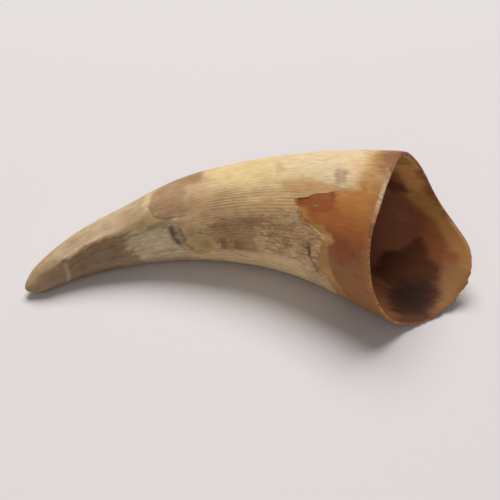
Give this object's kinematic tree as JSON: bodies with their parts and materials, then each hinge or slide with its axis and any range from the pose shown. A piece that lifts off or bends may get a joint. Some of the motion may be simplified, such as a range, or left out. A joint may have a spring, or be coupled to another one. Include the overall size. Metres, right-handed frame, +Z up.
{
  "type": "cow horn",
  "caption": "Raw curved cattle horn lying on its flank, hollow and open at the broad end, solid at the blunt tip.",
  "frame": {"origin": "centre of the horn's bounding box in plan, on the surface that it lies on", "axes": "+Z up from that surface, the blunt tip towards -X, the open mouth towards +X and turned to -Y, the outside of the bend towards +Y"},
  "size_m": [0.1993, 0.0829, 0.0657],
  "materials": {
    "horn": "natural keratin: cream and tan with fine lengthwise ridges on the outer layer, smooth translucent amber where it has flaked off near the mouth, worn grey-brown tip, dark brown cavity"
  },
  "bodies": {
    "root": {"cow_horn": "horn"}
  },
  "joints": []
}
